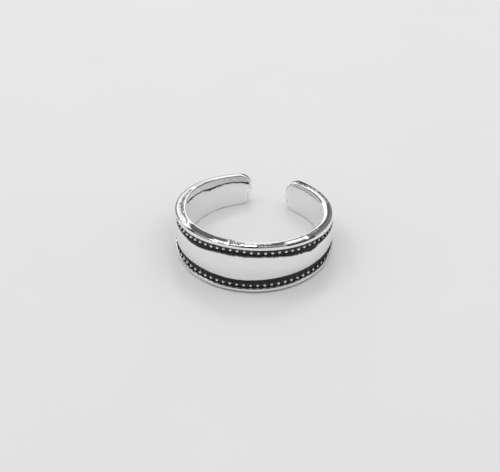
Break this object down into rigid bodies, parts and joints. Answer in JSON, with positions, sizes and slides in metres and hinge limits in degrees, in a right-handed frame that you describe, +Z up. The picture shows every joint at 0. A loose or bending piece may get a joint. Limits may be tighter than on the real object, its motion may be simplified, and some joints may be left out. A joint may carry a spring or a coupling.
{
  "type": "toe ring",
  "caption": "Open adjustable toe ring, wide in front and narrow behind, with a smooth raised panel between two grooves of small beads.",
  "frame": {"origin": "where the axis of the toe hole meets the surface that the ring lies on, at the middle of the lower edge", "axes": "+Z up, square to the lower edge that the ring rests on; the wide front of the band faces -Y and the gap between the ends faces +Y; +X is to the right seen from the front; the axis of the toe hole leans 4.1 degrees from +Z towards +Y, because the band tapers"},
  "size_m": [0.0175, 0.0174, 0.0059],
  "materials": {
    "silver": "polished sterling silver, blackened in the two grooves, with a fine cast texture inside the band"
  },
  "bodies": {
    "root": {"band": "silver"}
  },
  "joints": []
}
